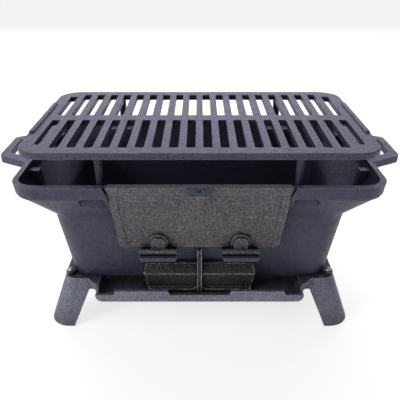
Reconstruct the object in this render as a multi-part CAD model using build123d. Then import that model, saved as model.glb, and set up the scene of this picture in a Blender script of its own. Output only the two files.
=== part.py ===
from build123d import *
import os

# Cast-iron charcoal hibachi, in millimetres.
# +Z is up, the coal door faces -Y, X runs along the length.
# The origin is on the ground, under the middle of the whole grill. The sub-parts are
# drawn with Y = 0 at the middle of the fire bowl, and moved by REAR_SHIFT at the end.

# Driving dimensions ---------------------------------------------------------
RIM_HALF_X = 204.5          # fire bowl, outside of the rim
RIM_HALF_Y = 127.5
RIM_Z = 201.0
RIM_CORNER = 28.0
BOWL_Z = 60.0               # parting line between the bowl and the stand
END_WALL = 6.0
SIDE_WALL = 8.0
CORNER_EASE = 0.1           # corner radius lost for each millimetre of inset
# how far the bowl's outside is inset from the rim, as (height, inset)
BOWL_PROFILE = [
    (BOWL_Z, 46.0),
    (144.0, 34.0),
    (148.5, 33.0),
    (152.5, 30.5),
    (183.2, 5.2),
    (185.5, 2.6),
    (189.0, 1.2),
    (RIM_Z, 0.0),
]

LEDGE_Z = 66.0              # the ledge that carries the coal grate
LEDGE_IN = 9.0

HANDLE_OUT = 242.0          # loop handles at both ends
HANDLE_HALF_TIP = 32.0
HANDLE_HALF_ROOT = 55.0
HANDLE_T = 10.0
LOOP_OUT = 233.0            # the opening in each loop
LOOP_HALF_TIP = 24.0
LOOP_HALF_ROOT = 37.0

LUG_Y = 61.0                # upright lugs inside the end walls
LUG_W = 9.0
LUG_TOP = 195.0
LUG_FOOT = 166.0
LUG_IN_TOP = 186.6          # the lug's inner face, at its top and at its foot
LUG_IN_FOOT = 181.5

LEG_X = 109.0               # cooking grate legs, and the seats that carry them
LEG_Y = 103.0
LEG_TOP_R = 5.2
LEG_FOOT_R = 3.6
SEAT_Z = 190.0
SEAT_HALF = 17.5
SEAT_X = 115.0
SEAT_BACK = 96.0
POCKET_X = (102.0, 130.5)   # the hollows under the rim, beside the coal door
POCKET_BACK = (107.5, 113.5)
POCKET_Z = (165.0, 187.5)

GRATE_TOP = 238.0           # cooking grate
GRATE_T = 7.2
GRATE_X = 390.0
GRATE_Y = 241.0
GRATE_CORNER = 28.0
SLOTS = 20
SLOT_PITCH = 18.3
SLOT_W = 10.1
SLOT_L = 94.0
CROSS_BAR = 19.0
CORNER_SLOT_TRIM = 9.0
BEAD_L = 118.0
BEAD_R = 3.4

DOOR_TOP = (0.0, -127.0, RIM_Z)      # coal door, on its front face
DOOR_FOOT = (0.0, -100.0, 112.0)
DOOR_TOP_HALF = 98.7
DOOR_FOOT_HALF = 92.5
DOOR_T = 5.0
DOOR_CORNER = 9.0
PANEL_IN = 8.6
PANEL_DEEP = 1.0
HINGE_X = 47.8
HINGE_Y = -107.5
HINGE_Z = 110.8
TRUNNION_R = 3.4
TRUNNION_HALF = 21.2
TAB_FRONT = -146.5
TAB_HOLE_Y = -133.2
TAB_HOLE_R = 3.5
TAB_T = 4.4

CRADLE_HALF = 22.3          # hinge cradles on the front of the bowl
CRADLE_FRONT = -115.2
CRADLE_FOOT = 102.2
CRADLE_WALL = 3.4
CRADLE_TOP = 113.2

DRAFT_HALF = 50.0           # draft opening, low in the front wall
DRAFT_TOP = 81.0
SHUTTER_HALF = 67.0         # sliding draft door in front of it
SHUTTER_FOOT_HALF = 61.5
SHUTTER_ROUND = 9.0
SHUTTER_TOP = 84.5
RIDGE_Z = 75.0
FIN_T = 5.0
FIN_TOP = 107.0
FIN_FRONT = -103.5

STAND_HALF_X = 167.6        # stand
STAND_HALF_Y = 88.5
STAND_CORNER = 16.0
STAND_FLOOR = 49.0
STAND_UNDER = 44.4
STAND_WALL = 7.0
TRAY_HALF = 125.0
TRAY_FRONT = -114.5
TRAY_BACK = -101.5           # where the tray's ends reach the stand's level
TRAY_ROUND = 8.5
TRAY_WALL = 3.0
LIP_T = 4.0
LIP_TOP = 59.2
NOTCH_HALF = 35.5
NOTCH_Z = 53.6
LOW_END = 103.5             # the lip is low from here to each end
WEB_Z = 50.5                # underside of the webs that join the tray to the legs
PAN_HALF_X = 136.0          # the hollow in the stand's floor, under the bowl
PAN_HALF_Y = 70.0
LEG_RUN_X = 36.8            # length of a leg's wall along the front, and along the side
LEG_RUN_Y = 30.0
FOOT_RUN_X = 32.3
FOOT_RUN_Y = 29.0
FOOT_CORNER = 26.0
FOOT_DX = 21.3              # how far each foot splays outwards
FOOT_DY = 17.2

BOLT_X = 161.3              # M4 screws that hold the bowl to the stand
BOLT_Y = 75.5
BOLT_R = 2.0
BOLT_HOLE_R = 2.3
BOLT_END = 38.5
HEAD_R = 3.6
HEAD_T = 2.8
HEX_R = 4.0
NUT_T = 3.2
NUT_ROOM_R = 5.2
WASHER_R = 4.4
WASHER_T = 0.8
EAR_R = 5.6
EAR_T = 3.6

COAL_HALF_X = 148.0         # coal grate inside the bowl
COAL_HALF_Y = 70.0
COAL_T = 8.0
COAL_BAR = 9.0
COAL_GAP = 11.0

REAR_SHIFT = -(TAB_FRONT + RIM_HALF_Y) / 2

CORNERS = [(-1, -1), (1, -1), (1, 1), (-1, 1)]


# Helpers ----------------------------------------------------------------------
def slab(x0, x1, y0, y1, z0, z1):
    """A box from its lowest and highest corners."""
    size = (x1 - x0, y1 - y0, z1 - z0)
    centre = ((x0 + x1) / 2, (y0 + y1) / 2, (z0 + z1) / 2)
    return Pos(*centre) * Box(*size)


def prism_x(points, half):
    """A (y, z) outline carried from -half to +half along X."""
    face = make_face(Polyline([(0, y, z) for y, z in points], close=True))
    return Pos(-half, 0, 0) * extrude(face, amount=2 * half, dir=(1, 0, 0))


def prism_y(points, y0, y1):
    """An (x, z) outline carried from y0 to y1."""
    face = make_face(Polyline([(x, y0, z) for x, z in points], close=True))
    return extrude(face, amount=y1 - y0, dir=(0, 1, 0))


def ring_section(z, inset, wall_x=0.0, wall_y=0.0):
    """The rounded outline of the bowl at one height."""
    half_x = RIM_HALF_X - inset - wall_x
    half_y = RIM_HALF_Y - inset - wall_y
    corner = RIM_CORNER - CORNER_EASE * inset - wall_x
    return Pos(0, 0, z) * RectangleRounded(2 * half_x, 2 * half_y, corner)


def bowl_form(wall_x=0.0, wall_y=0.0):
    """The bowl as a solid block, outside (no wall) or inside (with the walls taken off)."""
    spans = zip(BOWL_PROFILE, BOWL_PROFILE[1:])
    form = None
    for (z0, in0), (z1, in1) in spans:
        low = ring_section(z0, in0, wall_x, wall_y)
        high = ring_section(z1, in1, wall_x, wall_y)
        piece = loft([low, high], ruled=True)
        form = piece if form is None else form + piece
    return form


def inset_at(z):
    """The bowl's inset at a height, read from its profile."""
    for (z0, in0), (z1, in1) in zip(BOWL_PROFILE, BOWL_PROFILE[1:]):
        if z0 <= z <= z1:
            return in0 + (in1 - in0) * (z - z0) / (z1 - z0)
    return 0.0


def door_plane():
    """Local frame of the coal door: x along X, y up the door, z out of its face."""
    up = Vector(*DOOR_TOP) - Vector(*DOOR_FOOT)
    out = Vector(1, 0, 0).cross(up)
    return Plane(origin=DOOR_FOOT, x_dir=(1, 0, 0), z_dir=out.normalized())


def door_height():
    return (Vector(*DOOR_TOP) - Vector(*DOOR_FOOT)).length


def door_outline(grow):
    """The door's outline in its own frame, grown on all sides but the top."""
    top = DOOR_TOP_HALF + grow
    foot = DOOR_FOOT_HALF + grow
    high = door_height() + max(grow, 0)
    points = [(-foot, -grow), (foot, -grow), (top, high), (-top, high)]
    face = make_face(Polyline(points, close=True))
    low = face.vertices().sort_by(Axis.Y)[:2]
    return fillet(low, DOOR_CORNER)


# Fire bowl --------------------------------------------------------------------
def loop_handle(side):
    """A flat loop, cast level with the rim."""
    root = RIM_HALF_X - 3.0
    outer = [
        (root, -HANDLE_HALF_ROOT),
        (HANDLE_OUT, -HANDLE_HALF_TIP),
        (HANDLE_OUT, HANDLE_HALF_TIP),
        (root, HANDLE_HALF_ROOT),
    ]
    face = make_face(Polyline(outer, close=True))
    tips = face.vertices().sort_by(Axis.X)[-2:]
    face = fillet(tips, 7.0)
    loop_in = RIM_HALF_X - 1.0
    hole = [
        (loop_in, -LOOP_HALF_ROOT),
        (LOOP_OUT, -LOOP_HALF_TIP),
        (LOOP_OUT, LOOP_HALF_TIP),
        (loop_in, LOOP_HALF_ROOT),
    ]
    opening = make_face(Polyline(hole, close=True))
    ends = opening.vertices().sort_by(Axis.X)[-2:]
    opening = fillet(ends, 7.0)
    loop = extrude(face - opening, amount=-HANDLE_T)
    loop = Pos(0, 0, RIM_Z) * loop
    lower = loop.edges().group_by(Axis.Z)[0].filter_by(lambda e: e.center().X > RIM_HALF_X + 6)
    loop = fillet(lower, 2.0)
    if side < 0:
        loop = mirror(loop, about=Plane.YZ)
    return loop


def end_lug(side, row):
    """An upright rib on an end wall, with a flat top; it dies into the sloping wall."""
    outline = [
        (side * LUG_IN_TOP, LUG_TOP),
        (side * LUG_IN_FOOT, LUG_FOOT),
        (side * RIM_HALF_X, LUG_FOOT),
        (side * RIM_HALF_X, LUG_TOP),
    ]
    y = row * LUG_Y
    return prism_y(outline, y - LUG_W / 2, y + LUG_W / 2)


def leg_seat(side, row):
    """A solid shelf inside a long wall that a grate leg stands on."""
    x = side * SEAT_X
    ys = sorted([row * SEAT_BACK, row * (RIM_HALF_Y - 1)])
    return slab(x - SEAT_HALF, x + SEAT_HALF, ys[0], ys[1], SEAT_Z - 24, SEAT_Z)


def door_jambs():
    """Side posts and sill that the coal door leans on."""
    plane = door_plane()
    face = door_outline(-2.0)
    block = plane * Pos(0, 0, -DOOR_T - 0.4) * extrude(face, amount=-40)
    deep = slab(-120, 120, -140, -SEAT_BACK + 14, 113, RIM_Z - 6)
    return block & deep


def door_recess():
    """Room for the coal door, in front of the jambs, cut wider at the rim."""
    plane = door_plane()
    room = plane * Pos(0, 0, -DOOR_T - 0.4) * extrude(door_outline(1.0), amount=45)
    rim_cut = prism_y([(-97.5, 187.0), (97.5, 187.0), (104.0, RIM_Z + 1), (-104.0, RIM_Z + 1)], -135, -113)
    return room + rim_cut


def door_opening():
    """The hole that the coal door covers, open at the rim."""
    points = [(-79, 124), (79, 124), (88, RIM_Z + 1), (-88, RIM_Z + 1)]
    opening = prism_y(points, -140, -70)
    return fillet(opening.edges().filter_by(Axis.Y).group_by(Axis.Z)[0], 10)


def rim_pocket(side):
    """A hollow under the rim, beside the coal door, round at its outer end."""
    near, far = POCKET_X
    back_near, back_far = POCKET_BACK
    plan = [(near, -RIM_HALF_Y - 2), (far, -RIM_HALF_Y - 2), (far, -back_far), (near, -back_near)]
    low, high = POCKET_Z
    face = make_face(Polyline([(x, y, low) for x, y in plan], close=True))
    cut = extrude(face, amount=high - low, dir=(0, 0, 1))
    cut = fillet(cut.edges().filter_by(Axis.Y).group_by(Axis.X)[-1], 7)
    if side < 0:
        cut = mirror(cut, about=Plane.YZ)
    return cut


def hinge_cradle(x):
    """An open-ended trough on the bowl's front for one of the door's trunnions."""
    round_in = 3.5
    outline = [
        (x - CRADLE_HALF, CRADLE_TOP),
        (x - CRADLE_HALF + 1.0, CRADLE_FOOT + round_in),
        (x - CRADLE_HALF + round_in, CRADLE_FOOT),
        (x + CRADLE_HALF - round_in, CRADLE_FOOT),
        (x + CRADLE_HALF - 1.0, CRADLE_FOOT + round_in),
        (x + CRADLE_HALF, CRADLE_TOP),
    ]
    back = -(RIM_HALF_Y - inset_at(CRADLE_FOOT)) + 3
    block = prism_y(outline, CRADLE_FRONT, back)
    bed = HINGE_Z - TRUNNION_R - 0.3
    trough = slab(x - 30, x + 30, CRADLE_FRONT + CRADLE_WALL, back + 1, bed, CRADLE_TOP + 1)
    return block - trough


def bowl_ear(side, row):
    """A drilled foot at a bottom corner that the stand screw clamps."""
    x, y = side * BOLT_X, row * BOLT_Y
    tip = Pos(x, y, BOWL_Z + EAR_T / 2) * Cylinder(EAR_R, EAR_T)
    web = Pos(x - side * 13, y - row * 7, BOWL_Z + EAR_T / 2) * Box(26, 2 * EAR_R, EAR_T)
    return tip + web


def make_bowl():
    outside = bowl_form()
    cavity = bowl_form(END_WALL, SIDE_WALL)
    inserts = None
    for side, row in CORNERS:
        pair = end_lug(side, row) + leg_seat(side, row)
        inserts = pair if inserts is None else inserts + pair
    ledge_in = inset_at(BOWL_Z) + LEDGE_IN
    ledge = slab(-RIM_HALF_X, RIM_HALF_X, -RIM_HALF_Y, RIM_HALF_Y, BOWL_Z, LEDGE_Z)
    ledge_hole = extrude(ring_section(BOWL_Z - 1, ledge_in, END_WALL, SIDE_WALL), amount=10)
    inserts += ledge - ledge_hole
    bowl = outside - cavity + (inserts & outside) + (door_jambs() - cavity)
    for side in (-1, 1):
        bowl += loop_handle(side) + hinge_cradle(side * HINGE_X)
        bowl -= rim_pocket(side)
        for row in (-1, 1):
            bowl += bowl_ear(side, row)
    bowl -= door_recess()
    bowl -= door_opening()
    bowl -= slab(-DRAFT_HALF, DRAFT_HALF, -100, -60, BOWL_Z - 1, DRAFT_TOP)
    for side, row in CORNERS:
        bowl -= Pos(side * BOLT_X, row * BOLT_Y, BOWL_Z) * Cylinder(BOLT_HOLE_R, 30)
    return bowl


# Stand ------------------------------------------------------------------------
def leg_section(x, y, z, run_x, run_y, corner):
    """The plan of the front-left leg at one height: a wall round a rounded corner at (x, y)."""
    t = STAND_WALL
    inner = corner - t
    k = 1 - 0.5 ** 0.5
    outer_mid = (x + corner * k, y + corner * k, z)
    inner_mid = (x + t + inner * k, y + t + inner * k, z)
    sides = [
        Line((x + run_x, y, z), (x + corner, y, z)),
        ThreePointArc((x + corner, y, z), outer_mid, (x, y + corner, z)),
        Line((x, y + corner, z), (x, y + run_y, z)),
        Line((x, y + run_y, z), (x + t, y + run_y, z)),
        Line((x + t, y + run_y, z), (x + t, y + corner, z)),
        ThreePointArc((x + t, y + corner, z), inner_mid, (x + corner, y + t, z)),
        Line((x + corner, y + t, z), (x + run_x, y + t, z)),
        Line((x + run_x, y + t, z), (x + run_x, y, z)),
    ]
    return make_face(Wire(sides))


def to_corner(shape, side, row):
    """A shape drawn at the front-left corner, mirrored to another corner."""
    if side > 0:
        shape = mirror(shape, about=Plane.YZ)
    if row > 0:
        shape = mirror(shape, about=Plane.XZ)
    return shape


def stand_leg():
    """The front-left leg: a curved shell that splays outwards."""
    x, y = -STAND_HALF_X, -STAND_HALF_Y
    top = leg_section(x, y, BOWL_Z, LEG_RUN_X, LEG_RUN_Y, STAND_CORNER)
    foot = leg_section(x - FOOT_DX, y - FOOT_DY, 0, FOOT_RUN_X, FOOT_RUN_Y, FOOT_CORNER)
    return loft([foot, top], ruled=True)


def tray_web():
    """The web that joins the tray's left end to the front-left leg, arched underneath."""
    inner = -TRAY_HALF + TRAY_WALL
    arch = -STAND_HALF_X + LEG_RUN_X
    back = -STAND_HALF_Y + STAND_WALL
    plan = [
        (arch - 4, back),
        (arch - 6.6, -STAND_HALF_Y),
        (arch - 2.2, -STAND_HALF_Y - 5.3),
        (arch + 2.4, TRAY_BACK + 2.5),
        (-TRAY_HALF, TRAY_BACK),
        (inner, TRAY_BACK),
        (inner, back),
    ]
    face = make_face(Polyline([(x, y, WEB_Z) for x, y in plan], close=True))
    return extrude(face, amount=BOWL_Z - WEB_Z, dir=(0, 0, 1))


def front_tray():
    """The ash tray in front of the draft opening, and the room inside it."""
    tray = slab(-TRAY_HALF, TRAY_HALF, TRAY_FRONT, -60, STAND_UNDER, LIP_TOP)
    tray = fillet(tray.edges().filter_by(Axis.Y).group_by(Axis.Z)[0], TRAY_ROUND)
    half = TRAY_HALF - TRAY_WALL
    room = slab(-half, half, TRAY_FRONT + LIP_T, -50, STAND_FLOOR, BOWL_Z + 1)
    room = fillet(room.edges().filter_by(Axis.Y).group_by(Axis.Z)[0], TRAY_ROUND - TRAY_WALL)
    return tray, room


def lip_cuts():
    """The lip's wide middle notch, and its low ends that rise towards the stand."""
    flare = 3.0
    above = LIP_TOP + 1
    notch = [
        (-NOTCH_HALF, NOTCH_Z),
        (NOTCH_HALF, NOTCH_Z),
        (NOTCH_HALF + flare, above),
        (-NOTCH_HALF - flare, above),
    ]
    cut = prism_y(notch, TRAY_FRONT - 1, TRAY_FRONT + LIP_T + 1)
    cuts = [fillet(cut.edges().filter_by(Axis.Y).group_by(Axis.Z)[0], 1.5)]
    slope = [
        (TRAY_FRONT - 1, NOTCH_Z),
        (TRAY_FRONT + LIP_T, NOTCH_Z),
        (TRAY_BACK, above),
        (TRAY_FRONT - 1, above),
    ]
    end = [
        (LOW_END, NOTCH_Z - 1),
        (TRAY_HALF + 1, NOTCH_Z - 1),
        (TRAY_HALF + 1, above),
        (LOW_END - flare, above),
        (LOW_END, NOTCH_Z),
    ]
    low_end = prism_x(slope, TRAY_HALF + 1) & prism_y(end, TRAY_FRONT - 2, TRAY_BACK + 1)
    return cuts + [low_end, mirror(low_end, about=Plane.YZ)]


def make_stand():
    plan = RectangleRounded(2 * STAND_HALF_X, 2 * STAND_HALF_Y, STAND_CORNER)
    stand = Pos(0, 0, STAND_UNDER) * extrude(plan, amount=BOWL_Z - STAND_UNDER)
    tray, room = front_tray()
    stand += tray
    pan = RectangleRounded(2 * PAN_HALF_X, 2 * PAN_HALF_Y, 18)
    stand -= Pos(0, 0, STAND_FLOOR) * extrude(pan, amount=20)
    for side in (-1, 1):
        stand += to_corner(tray_web(), side, -1)
    for side, row in CORNERS:
        stand += to_corner(stand_leg(), side, row)
    stand -= room
    for cut in lip_cuts():
        stand -= cut
    for side, row in CORNERS:
        bolt = Pos(side * BOLT_X, row * BOLT_Y, 0)
        stand -= bolt * Pos(0, 0, STAND_UNDER) * Cylinder(BOLT_HOLE_R, 60)
        stand -= bolt * Pos(0, 0, STAND_UNDER - 12) * Cylinder(NUT_ROOM_R, 24)
    return stand


# Cooking grate ----------------------------------------------------------------
def grate_leg(side, row):
    """A tapered round post under the cooking grate."""
    height = GRATE_TOP - GRATE_T + 1 - SEAT_Z
    post = Cone(LEG_FOOT_R, LEG_TOP_R, height)
    return Pos(side * LEG_X, row * LEG_Y, SEAT_Z + height / 2) * post


def end_bead(side):
    """The rounded lifting bead along an end of the grate."""
    x = side * (GRATE_X / 2 - BEAD_R - 0.3)
    z = GRATE_TOP - 0.2
    bar = Pos(x, 0, z) * Rot(90, 0, 0) * Cylinder(BEAD_R, BEAD_L - 2 * BEAD_R)
    for end in (-1, 1):
        bar += Pos(x, end * (BEAD_L / 2 - BEAD_R), z) * Sphere(BEAD_R)
    return bar


def make_cooking_grate():
    plate = RectangleRounded(GRATE_X, GRATE_Y, GRATE_CORNER)
    grate = Pos(0, 0, GRATE_TOP - GRATE_T) * extrude(plate, amount=GRATE_T)
    grate = fillet(grate.edges().group_by(Axis.Z)[-1], 1.0)
    for i in range(SLOTS):
        x = (i - (SLOTS - 1) / 2) * SLOT_PITCH
        trim = CORNER_SLOT_TRIM if i in (0, SLOTS - 1) else 0.0
        for row in (-1, 1):
            y = row * (CROSS_BAR / 2 + (SLOT_L - trim) / 2)
            slot = RectangleRounded(SLOT_W, SLOT_L - trim, 2.4)
            grate -= Pos(x, y, GRATE_TOP - GRATE_T - 1) * extrude(slot, amount=GRATE_T + 2)
    for side, row in CORNERS:
        grate += grate_leg(side, row)
    for side in (-1, 1):
        grate += end_bead(side)
    return grate


# Coal grate -------------------------------------------------------------------
def make_coal_grate():
    """The slotted plate inside the bowl that the charcoal lies on."""
    plate = RectangleRounded(2 * COAL_HALF_X, 2 * COAL_HALF_Y, 16)
    grate = Pos(0, 0, LEDGE_Z) * extrude(plate, amount=COAL_T)
    pitch = COAL_BAR + COAL_GAP
    count = int((2 * COAL_HALF_X - 24) / pitch)
    for i in range(count):
        x = (i - (count - 1) / 2) * pitch
        for row in (-1, 1):
            slot = RectangleRounded(COAL_GAP, COAL_HALF_Y - 18, 4)
            grate -= Pos(x, row * COAL_HALF_Y / 2, LEDGE_Z - 1) * extrude(slot, amount=COAL_T + 2)
    return grate


# Coal door --------------------------------------------------------------------
def hinge_boss(x):
    """A stepped, round-topped boss, and the trunnion bar that its tongue runs down to."""
    plane = door_plane()
    steps = None
    tongue_half = 8.2
    for half, top, out in [(10.9, 12.5, 2.4), (tongue_half, 12.0, 4.7)]:
        face = Pos(x, top / 2) * Rectangle(2 * half, top)
        face += Pos(x, top) * Circle(half)
        step = plane * Pos(0, 0, -PANEL_DEEP - 1) * extrude(face, amount=PANEL_DEEP + 1 + out)
        steps = step if steps is None else steps + step
    tongue = [
        (-105.9, 115.3),
        (HINGE_Y - 0.87 * TRUNNION_R, HINGE_Z + 0.5 * TRUNNION_R),
        (HINGE_Y, HINGE_Z),
        (-102.0, 112.6),
        (-102.0, 115.3),
    ]
    steps += Pos(x, 0, 0) * prism_x(tongue, tongue_half)
    bar = Pos(x, HINGE_Y, HINGE_Z) * Rot(0, 90, 0) * Cylinder(TRUNNION_R, 2 * TRUNNION_HALF)
    return steps + bar


def lifter_tab():
    """The drilled ledge at the top of the door that a lifting hook pulls on."""
    top_z = RIM_Z - 0.5
    points = [(-15.2, -121.0), (15.2, -121.0), (10.6, TAB_FRONT), (-10.6, TAB_FRONT)]
    face = make_face(Polyline([(x, y, top_z) for x, y in points], close=True))
    tab = extrude(face, amount=-TAB_T, dir=(0, 0, 1))
    tab = fillet(tab.edges().filter_by(Axis.Z).group_by(Axis.Y)[0], 2.0)
    return tab - Pos(0, TAB_HOLE_Y, top_z) * Cylinder(TAB_HOLE_R, 30)


def door_panel():
    """The sunk panel inside the door's raised border, open at the foot."""
    top = DOOR_TOP_HALF - PANEL_IN
    foot = DOOR_FOOT_HALF - PANEL_IN
    high = door_height() - PANEL_IN
    face = make_face(Polyline([(-foot, -20), (foot, -20), (top, high), (-top, high)], close=True))
    face = fillet(face.vertices().sort_by(Axis.Y)[-2:], 4.0)
    return door_plane() * Pos(0, 0, -PANEL_DEEP) * extrude(face, amount=5)


def make_coal_door():
    plate = door_plane() * extrude(door_outline(0.0), amount=-DOOR_T)
    plate -= door_panel()
    flange = slab(-DOOR_TOP_HALF + 0.8, DOOR_TOP_HALF - 0.8, -125.5, -117.0, RIM_Z - 4.5, RIM_Z)
    top_cut = slab(-150, 150, -160, -100, RIM_Z, RIM_Z + 20)
    door = plate + flange + lifter_tab() - top_cut
    for x in (-HINGE_X, HINGE_X):
        door += hinge_boss(x)
    return door


# Draft door -------------------------------------------------------------------
def shutter_sheet():
    """The shutter: an upright lower face with a toe, a ridge, and an upper face leaning back."""
    foot = STAND_FLOOR + 0.3
    side_view = [
        (-101.0, foot),
        (-101.0, foot + 3.6),
        (-97.6, foot + 5.2),
        (-96.8, RIDGE_Z - 3.4),
        (-99.4, RIDGE_Z - 1.0),
        (-98.6, RIDGE_Z + 1.2),
        (-91.2, SHUTTER_TOP),
        (-87.6, SHUTTER_TOP),
        (-92.6, RIDGE_Z - 3.0),
        (-92.6, foot),
    ]
    front_view = [
        (-SHUTTER_FOOT_HALF, foot),
        (-SHUTTER_HALF, RIDGE_Z),
        (-SHUTTER_HALF + 2.5, SHUTTER_TOP),
        (SHUTTER_HALF - 2.5, SHUTTER_TOP),
        (SHUTTER_HALF, RIDGE_Z),
        (SHUTTER_FOOT_HALF, foot),
    ]
    outline = prism_y(front_view, -110, -80)
    outline = fillet(outline.edges().filter_by(Axis.Y).group_by(Axis.Z)[0], SHUTTER_ROUND)
    return prism_x(side_view, SHUTTER_HALF) & outline


def make_draft_door():
    """The shutter and the fin that it is pushed by, blended into the toe."""
    foot = STAND_FLOOR + 0.3
    fin_view = [
        (-94.0, foot + 1),
        (FIN_FRONT, foot + 1.5),
        (FIN_FRONT, foot + 8),
        (FIN_FRONT + 3.5, FIN_TOP - 2),
        (FIN_FRONT + 5.5, FIN_TOP),
        (FIN_FRONT + 9.5, FIN_TOP),
        (-90.0, SHUTTER_TOP - 2),
    ]
    flare = 5.0
    half = FIN_T / 2
    low = foot + 3.4
    flare_view = [
        (-half - flare, low),
        (half + flare, low),
        (half + 1, low + flare),
        (half, low + 3 * flare),
        (-half, low + 3 * flare),
        (-half - 1, low + flare),
    ]
    gusset = prism_y(flare_view, -100.9, -95.0)
    return shutter_sheet() + prism_x(fin_view, half) + gusset


# Fasteners --------------------------------------------------------------------
def stand_bolt(side, row):
    """A round-headed screw that goes down through the bowl's ear and the stand."""
    seat = BOWL_Z + EAR_T + WASHER_T
    shank = Pos(0, 0, (seat + BOLT_END) / 2) * Cylinder(BOLT_R, seat - BOLT_END)
    ball_r = (HEAD_R ** 2 + HEAD_T ** 2) / (2 * HEAD_T)
    head = Pos(0, 0, seat + HEAD_T - ball_r) * Sphere(ball_r)
    head &= Pos(0, 0, seat + 5) * Box(20, 20, 10)
    return Pos(side * BOLT_X, row * BOLT_Y, 0) * (shank + head)


def stand_washer(side, row):
    ring = Cylinder(WASHER_R, WASHER_T) - Cylinder(BOLT_R + 0.15, 3)
    return Pos(side * BOLT_X, row * BOLT_Y, BOWL_Z + EAR_T + WASHER_T / 2) * ring


def stand_nut(side, row):
    """A hexagon nut, tight under the stand."""
    nut = extrude(RegularPolygon(HEX_R, 6), amount=-NUT_T) - Cylinder(BOLT_R, 20)
    return Pos(side * BOLT_X, row * BOLT_Y, STAND_UNDER) * nut


# Build ------------------------------------------------------------------------
nodes = {
    "fire_bowl": make_bowl(),
    "base_stand": make_stand(),
    "cooking_grate": make_cooking_grate(),
    "coal_grate": make_coal_grate(),
    "coal_door": make_coal_door(),
    "draft_door": make_draft_door(),
}
for number, (side, row) in enumerate(CORNERS, start=1):
    nodes[f"stand_bolt_{number}"] = stand_bolt(side, row)
    nodes[f"stand_washer_{number}"] = stand_washer(side, row)
    nodes[f"stand_nut_{number}"] = stand_nut(side, row)

os.makedirs("parts", exist_ok=True)
for name, shape in nodes.items():
    export_step(Pos(0, REAR_SHIFT, 0) * shape, f"parts/{name}.step")
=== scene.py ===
import math

import bpy
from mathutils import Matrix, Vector

# A cast-iron charcoal hibachi on a pale studio floor. Metres, +Z up, the coal door faces -Y.

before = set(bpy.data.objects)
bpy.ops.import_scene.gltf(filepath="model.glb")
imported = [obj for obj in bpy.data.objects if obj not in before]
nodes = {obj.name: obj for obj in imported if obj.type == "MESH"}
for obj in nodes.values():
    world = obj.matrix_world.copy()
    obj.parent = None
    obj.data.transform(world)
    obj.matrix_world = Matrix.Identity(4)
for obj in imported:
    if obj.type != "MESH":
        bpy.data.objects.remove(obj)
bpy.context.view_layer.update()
scene = bpy.context.scene

MM = 0.001

# Camera: in front, looking down on the grate, close enough for a strong perspective ------------
CAMERA_AT = (0.0006, -0.6203, 0.4387)
LOOK_DOWN = math.radians(26.54)
SENSOR = 36.0
FOCAL = 47.61

# Studio -----------------------------------------------------------------------------------------
FLOOR_HALF = 7.0
FLOOR_CELLS = 12
FLOOR_COLOUR = (0.56, 0.55, 0.50)
FLOOR_GLOW = 0.68            # the sheet is lit from below, as a shooting table is
HORIZON_LIGHT = 0.20         # strength of the surround at the horizon, and overhead
ZENITH_LIGHT = 0.62
COOL = (0.86, 0.87, 1.0)     # colour of the light from above
LIT_SIDE = 1.10              # the surround is brighter on the left than on the right,
SHADE_SIDE = 0.30            # where a flag stands
LAMP_AIM = (0, 0, 0.12)

# Surfaces ---------------------------------------------------------------------------------------
SKY_TINT = (0.84, 0.84, 1.0)  # the cool cast of the oiled iron's shine
CASTING_ROUND = 0.8 * MM     # how far sharp edges are rounded
STEEL_ROUND = 0.25 * MM
WELD_WITHIN = 0.01 * MM
SHARP_EDGE = math.radians(35)


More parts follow.
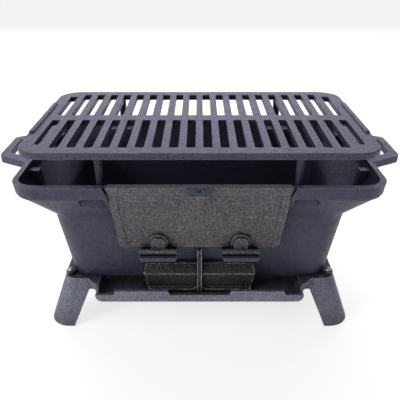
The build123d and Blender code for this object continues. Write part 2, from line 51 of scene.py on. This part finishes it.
# ---- Node helpers --------------------------------------------------------------------------------
class Tree:
    """A small wrapper that adds nodes to a material and links them."""

    def __init__(self, name):
        self.material = bpy.data.materials.new(name)
        self.material.use_nodes = True
        self.nodes = self.material.node_tree.nodes
        self.links = self.material.node_tree.links
        self.shader = self.nodes["Principled BSDF"]
        self.place = self.add("ShaderNodeTexCoord").outputs["Object"]

    def add(self, kind, **values):
        node = self.nodes.new(kind)
        for key, value in values.items():
            setattr(node, key, value)
        return node

    def link(self, out, socket):
        self.links.new(out, socket)

    def noise(self, scale, detail=2.0, rough=0.5, stretch=None, seed=0.0):
        """Noise between 0 and 1; scale is in features for each metre."""
        node = self.add("ShaderNodeTexNoise")
        node.inputs["Scale"].default_value = scale
        node.inputs["Detail"].default_value = detail
        node.inputs["Roughness"].default_value = rough
        place = self.place
        if stretch or seed:
            mapping = self.add("ShaderNodeMapping")
            mapping.inputs["Scale"].default_value = stretch or (1, 1, 1)
            mapping.inputs["Location"].default_value = (seed, seed * 0.7, seed * 0.3)
            self.link(place, mapping.inputs["Vector"])
            place = mapping.outputs["Vector"]
        self.link(place, node.inputs["Vector"])
        return node.outputs["Fac"]

    def cells(self, scale, seed=0.0):
        """Distance to the nearest random point, for pits and grains."""
        node = self.add("ShaderNodeTexVoronoi")
        node.inputs["Scale"].default_value = scale
        mapping = self.add("ShaderNodeMapping")
        mapping.inputs["Location"].default_value = (seed, seed * 0.7, seed * 0.3)
        self.link(self.place, mapping.inputs["Vector"])
        self.link(mapping.outputs["Vector"], node.inputs["Vector"])
        return node.outputs["Distance"]

    def remap(self, value, start, end, low=0.0, high=1.0):
        node = self.add("ShaderNodeMapRange")
        node.inputs["From Min"].default_value = start
        node.inputs["From Max"].default_value = end
        node.inputs["To Min"].default_value = low
        node.inputs["To Max"].default_value = high
        self.link(value, node.inputs["Value"])
        return node.outputs["Result"]

    def math(self, operation, a, b=0.0):
        node = self.add("ShaderNodeMath", operation=operation)
        for socket, value in zip(node.inputs, (a, b)):
            if isinstance(value, (int, float)):
                socket.default_value = value
            else:
                self.link(value, socket)
        return node.outputs["Value"]

    def mix(self, factor, a, b):
        """Colour a where factor is 0 and colour b where it is 1."""
        node = self.add("ShaderNodeMix", data_type="RGBA")
        self.link(factor, node.inputs["Factor"])
        for socket, value in zip(node.inputs[6:8], (a, b)):
            if isinstance(value, tuple):
                socket.default_value = (*value, 1.0)
            else:
                self.link(value, socket)
        return node.outputs[2]

    def edge(self, radius):
        """1 on convex and concave edges within the radius, 0 on flats."""
        bevel = self.add("ShaderNodeBevel", samples=4)
        bevel.inputs["Radius"].default_value = radius
        flat = self.add("ShaderNodeNewGeometry")
        dot = self.add("ShaderNodeVectorMath", operation="DOT_PRODUCT")
        self.link(bevel.outputs["Normal"], dot.inputs[0])
        self.link(flat.outputs["Normal"], dot.inputs[1])
        return self.remap(dot.outputs["Value"], 0.992, 0.86)

    def open_sky(self, distance):
        """1 on open surfaces and near 0 deep in corners and under overhangs."""
        shade = self.add("ShaderNodeAmbientOcclusion", samples=6)
        shade.inputs["Distance"].default_value = distance
        return shade.outputs["AO"]

    def faces_up(self):
        """1 on faces that look up in the part's own frame, 0 on upright ones: the mask for the painted
        shade on upward faces.
        """
        split = self.add("ShaderNodeSeparateXYZ")
        self.link(self.add("ShaderNodeTexCoord").outputs["Normal"], split.inputs[0])
        return self.remap(split.outputs["Z"], 0.80, 0.95)

    def bump(self, height, distance, strength=1.0):
        node = self.add("ShaderNodeBump")
        node.inputs["Strength"].default_value = strength
        node.inputs["Distance"].default_value = distance
        self.link(height, node.inputs["Height"])
        return node.outputs["Normal"]


# ---- Materials -------------------------------------------------------------------------------------
def cast_iron(name, dark, light, bright_wear_and_highlight, rough=0.5, metal=0.1, grain=0.35, speckle=0.3, edge_wear_and_highlight=0.5,
              edge=1.0, reach=14, soot_and_shade=0.3, clear_of_soot_and_shade=0.85, up_face_shade=None):
    """Sand-cast, seasoned iron: grain, pits, tone patches, specks, sooty darkening with painted
    shade in corners, and rubbed edges lightened also as a painted highlight.

    edge and reach are in millimetres: how wide the lightened edges are, and how far the sooty
    darkening and painted shade spread out of corners. clear_of_soot_and_shade is how open a face
    must be to be free of that darkening, from 0 to 1. up_face_shade is a painted shade: the
    darker, cooler tint of the faces that look up.
    """
    t = Tree(name)
    patches = t.remap(t.noise(14, 4, 0.6), 0.35, 0.68)
    mottle = t.remap(t.noise(160, 3, 0.6, seed=3.1), 0.35, 0.70)
    sand = t.remap(t.noise(480, 3, 0.7, seed=5.0), 0.38, 0.62)
    tone = t.math("ADD", t.math("MULTIPLY", patches, 0.25), t.math("MULTIPLY", mottle, 0.25))
    tone = t.math("ADD", tone, t.math("MULTIPLY", sand, 0.50))
    colour = t.mix(tone, dark, light)
    # Painted shade: faces that look up are given a darker, cooler tint.
    if up_face_shade:
        colour = t.mix(t.math("MULTIPLY", t.faces_up(), 0.8), colour, up_face_shade)
    specks = t.remap(t.noise(820, 2, 0.7, seed=7.7), 0.54, 0.70, 0.0, speckle)
    colour = t.mix(specks, colour, bright_wear_and_highlight)
    # Soot and painted shade: ambient occlusion darkens corners, creases and faces under overhangs towards
    # a sooty black.
    corners = t.remap(t.open_sky(reach * MM), 0.30, clear_of_soot_and_shade)
    colour = t.mix(corners, tuple(c * soot_and_shade for c in dark), colour)
    # Edges are lightened towards a pale colour: partly rubbed, bare iron and partly a painted highlight.
    convex = t.remap(t.open_sky(3 * MM), 0.75, 0.92)
    chips = t.remap(t.noise(240, 4, 0.65, seed=1.3), 0.34, 0.58)
    edges = t.math("MULTIPLY", t.math("MULTIPLY", t.edge(edge * MM), chips), edge_wear_and_highlight)
    edges = t.math("MULTIPLY", edges, convex)
    colour = t.mix(edges, colour, bright_wear_and_highlight)
    t.link(colour, t.shader.inputs["Base Color"])
    shine = t.remap(mottle, 0.0, 1.0, rough + 0.07, rough - 0.07)
    shine = t.math("ADD", shine, t.math("MULTIPLY", t.math("SUBTRACT", sand, 0.5), grain * 0.42))
    shine = t.math("SUBTRACT", shine, t.math("MULTIPLY", edges, 0.16))
    t.link(shine, t.shader.inputs["Roughness"])
    t.shader.inputs["Metallic"].default_value = metal
    t.shader.inputs["Specular Tint"].default_value = (*SKY_TINT, 1.0)
    pits = t.remap(t.cells(330, seed=2.0), 0.05, 0.45)
    height = t.math("ADD", t.noise(340, 4, 0.7, seed=5.0), t.math("MULTIPLY", pits, 0.45))
    height = t.math("ADD", height, t.math("MULTIPLY", t.noise(70, 2, 0.5), 0.9))
    t.link(t.bump(height, 1.4 * MM, grain), t.shader.inputs["Normal"])
    return t.material


def plated_steel(name, colour, dirt, rough, seed):
    """Zinc-plated fastener steel with fine turning marks and dark dirt in places."""
    t = Tree(name)
    cloud = t.remap(t.noise(210, 3, 0.6, seed=seed), 0.40, 0.66)
    t.link(t.mix(cloud, colour, dirt), t.shader.inputs["Base Color"])
    t.shader.inputs["Metallic"].default_value = 0.92
    t.link(t.remap(cloud, 0.0, 1.0, rough, rough + 0.22), t.shader.inputs["Roughness"])
    marks = t.noise(900, 2, 0.5, stretch=(1, 1, 6), seed=seed)
    t.link(t.bump(marks, 0.08 * MM, 0.4), t.shader.inputs["Normal"])
    return t.material


def floor_paint():
    """Pale matt paper sweep."""
    t = Tree("paper_sweep")
    fibre = t.remap(t.noise(420, 3, 0.6), 0.3, 0.7)
    pale = tuple(c * 1.02 for c in FLOOR_COLOUR)
    t.link(t.mix(fibre, FLOOR_COLOUR, pale), t.shader.inputs["Base Color"])
    t.link(t.remap(fibre, 0.0, 1.0, 0.85, 0.95), t.shader.inputs["Roughness"])
    t.shader.inputs["Specular IOR Level"].default_value = 0.15
    t.shader.inputs["Emission Color"].default_value = (1.0, 1.0, 1.0, 1.0)
    t.shader.inputs["Emission Strength"].default_value = FLOOR_GLOW
    return t.material


def finish_nodes():
    """One material for each casting and kind of fastener, and small rounds on every edge."""
    irons = {
        "fire_bowl": cast_iron("bowl_iron", (0.016, 0.016, 0.030), (0.054, 0.053, 0.092),
                               (0.32, 0.32, 0.36), rough=0.46, edge_wear_and_highlight=0.8, speckle=0.14, grain=0.7),
        # The stand gets a far-reaching, deep soot and painted shade, which darkens it under the bowl.
        "base_stand": cast_iron("stand_iron", (0.060, 0.063, 0.082), (0.225, 0.23, 0.29),
                                (0.62, 0.62, 0.65), rough=0.42, metal=0.3, edge_wear_and_highlight=0.9, speckle=0.35,
                                grain=0.9, reach=40, soot_and_shade=0.10, clear_of_soot_and_shade=0.97),
        "cooking_grate": cast_iron("grate_iron", (0.018, 0.018, 0.026), (0.072, 0.071, 0.098),
                                   (0.30, 0.30, 0.34), rough=0.42, edge_wear_and_highlight=0.6, speckle=0.22, grain=1.0),
        "coal_grate": cast_iron("coal_grate_iron", (0.022, 0.022, 0.024), (0.045, 0.044, 0.044),
                                (0.15, 0.15, 0.15), rough=0.65, edge_wear_and_highlight=0.3),
        # The coal door's upward faces get a painted shade: a darker, bluish tint.
        "coal_door": cast_iron("door_iron", (0.014, 0.012, 0.014), (0.108, 0.100, 0.106),
                               (0.46, 0.45, 0.45), rough=0.42, metal=0.2, speckle=0.75,
                               edge_wear_and_highlight=0.95, grain=1.0, edge=0.9, reach=8, up_face_shade=(0.030, 0.030, 0.042)),
        # The draft door's near-white edge colour is partly rubbed iron and partly a painted highlight on
        # its fin and edges.
        "draft_door": cast_iron("draft_door_iron", (0.006, 0.006, 0.006), (0.026, 0.025, 0.025),
                                (0.90, 0.88, 0.85), rough=0.42, metal=0.3, speckle=0.12,
                                edge_wear_and_highlight=1.0, grain=0.8, edge=1.3, reach=10),
    }
    bolt = plated_steel("screw_zinc", (0.70, 0.70, 0.72), (0.36, 0.36, 0.37), 0.28, 1.0)
    washer = plated_steel("washer_zinc", (0.16, 0.16, 0.17), (0.07, 0.07, 0.07), 0.45, 2.0)
    nut = plated_steel("nut_zinc", (0.60, 0.60, 0.62), (0.32, 0.32, 0.33), 0.32, 3.0)
    steels = {"stand_bolt": bolt, "stand_washer": washer, "stand_nut": nut}
    for name, part in nodes.items():
        material = irons.get(name) or steels[name.rsplit("_", 1)[0]]
        part.data.materials.clear()
        part.data.materials.append(material)
        round_edges(part, CASTING_ROUND if name in irons else STEEL_ROUND)


def round_edges(part, width):
    """Weld the mesh and round its sharp edges, without touching the mesh itself."""
    weld = part.modifiers.new("weld", "WELD")
    weld.merge_threshold = WELD_WITHIN
    bevel = part.modifiers.new("rounds", "BEVEL")
    bevel.width = width
    bevel.segments = 2
    bevel.limit_method = "ANGLE"
    bevel.angle_limit = SHARP_EDGE
    bevel.harden_normals = False
    bevel.miter_outer = "MITER_ARC"
    smooth = part.modifiers.new("normals", "WEIGHTED_NORMAL")
    smooth.keep_sharp = True
    smooth.weight = 50
    for face in part.data.polygons:
        face.use_smooth = True


# ---- Studio ------------------------------------------------------------------------------------------
def make_floor():
    """A wide, pale paper floor."""
    step = 2 * FLOOR_HALF / FLOOR_CELLS
    row = FLOOR_CELLS + 1
    verts = [(i * step - FLOOR_HALF, j * step - FLOOR_HALF, 0.0) for j in range(row) for i in range(row)]
    faces = []
    for j in range(FLOOR_CELLS):
        for i in range(FLOOR_CELLS):
            a = j * row + i
            faces.append((a, a + 1, a + row + 1, a + row))
    mesh = bpy.data.meshes.new("floor")
    mesh.from_pydata(verts, [], faces)
    mesh.materials.append(floor_paint())
    floor = bpy.data.objects.new("floor", mesh)
    scene.collection.objects.link(floor)


def softbox(name, place, aim, size, power, colour=(1, 1, 1)):
    light = bpy.data.lights.new(name, "AREA")
    light.shape = "RECTANGLE"
    light.size, light.size_y = size
    light.energy = power
    light.color = colour
    lamp = bpy.data.objects.new(name, light)
    lamp.location = place
    direction = Vector(aim) - Vector(place)
    lamp.rotation_euler = direction.to_track_quat("-Z", "Y").to_euler()
    lamp.visible_camera = False
    scene.collection.objects.link(lamp)


def make_world():
    """A white surround; the light it sheds is strong from above and weak at the horizon, and brighter on
    the left than on the right.
    """
    world = bpy.data.worlds.new("studio")
    world.use_nodes = True
    nodes_, links = world.node_tree.nodes, world.node_tree.links
    shed = nodes_["Background"]
    place = nodes_.new("ShaderNodeTexCoord")
    split = nodes_.new("ShaderNodeSeparateXYZ")
    links.new(place.outputs["Generated"], split.inputs[0])
    rise = nodes_.new("ShaderNodeMapRange")
    rise.inputs["From Min"].default_value = -0.1
    rise.inputs["From Max"].default_value = 0.9
    rise.inputs["To Min"].default_value = HORIZON_LIGHT
    rise.inputs["To Max"].default_value = ZENITH_LIGHT
    links.new(split.outputs["Z"], rise.inputs["Value"])
    side = nodes_.new("ShaderNodeMapRange")
    side.inputs["From Min"].default_value = -0.3
    side.inputs["From Max"].default_value = 0.7
    side.inputs["To Min"].default_value = LIT_SIDE
    side.inputs["To Max"].default_value = SHADE_SIDE
    links.new(split.outputs["X"], side.inputs["Value"])
    strength = nodes_.new("ShaderNodeMath")
    strength.operation = "MULTIPLY"
    links.new(rise.outputs["Result"], strength.inputs[0])
    links.new(side.outputs["Result"], strength.inputs[1])
    links.new(strength.outputs[0], shed.inputs["Strength"])
    seen = nodes_.new("ShaderNodeBackground")
    seen.inputs["Strength"].default_value = 1.0
    shed.inputs["Color"].default_value = (*COOL, 1.0)
    seen.inputs["Color"].default_value = (1.0, 1.0, 1.0, 1.0)
    path = nodes_.new("ShaderNodeLightPath")
    mix = nodes_.new("ShaderNodeMixShader")
    links.new(path.outputs["Is Camera Ray"], mix.inputs[0])
    links.new(shed.outputs[0], mix.inputs[1])
    links.new(seen.outputs[0], mix.inputs[2])
    links.new(mix.outputs[0], nodes_["World Output"].inputs["Surface"])
    scene.world = world


def make_studio():
    make_floor()
    make_world()
    softbox("back_top", (0.0, 1.5, 1.25), LAMP_AIM, (2.6, 1.3), 36, COOL)
    softbox("key_left", (-1.4, -0.9, 0.7), LAMP_AIM, (0.8, 0.9), 13)
    softbox("fill_right", (1.4, -0.7, 0.6), LAMP_AIM, (0.7, 0.8), 0.5)
    scene.view_settings.view_transform = "Standard"


def make_camera():
    data = bpy.data.cameras.new("camera")
    data.sensor_width = SENSOR
    data.lens = FOCAL
    camera = bpy.data.objects.new("camera", data)
    camera.location = CAMERA_AT
    camera.rotation_euler = (math.pi / 2 - LOOK_DOWN, 0, 0)
    scene.collection.objects.link(camera)
    scene.camera = camera


# ---- Build ---------------------------------------------------------------------------------------------
make_camera()
make_studio()
finish_nodes()
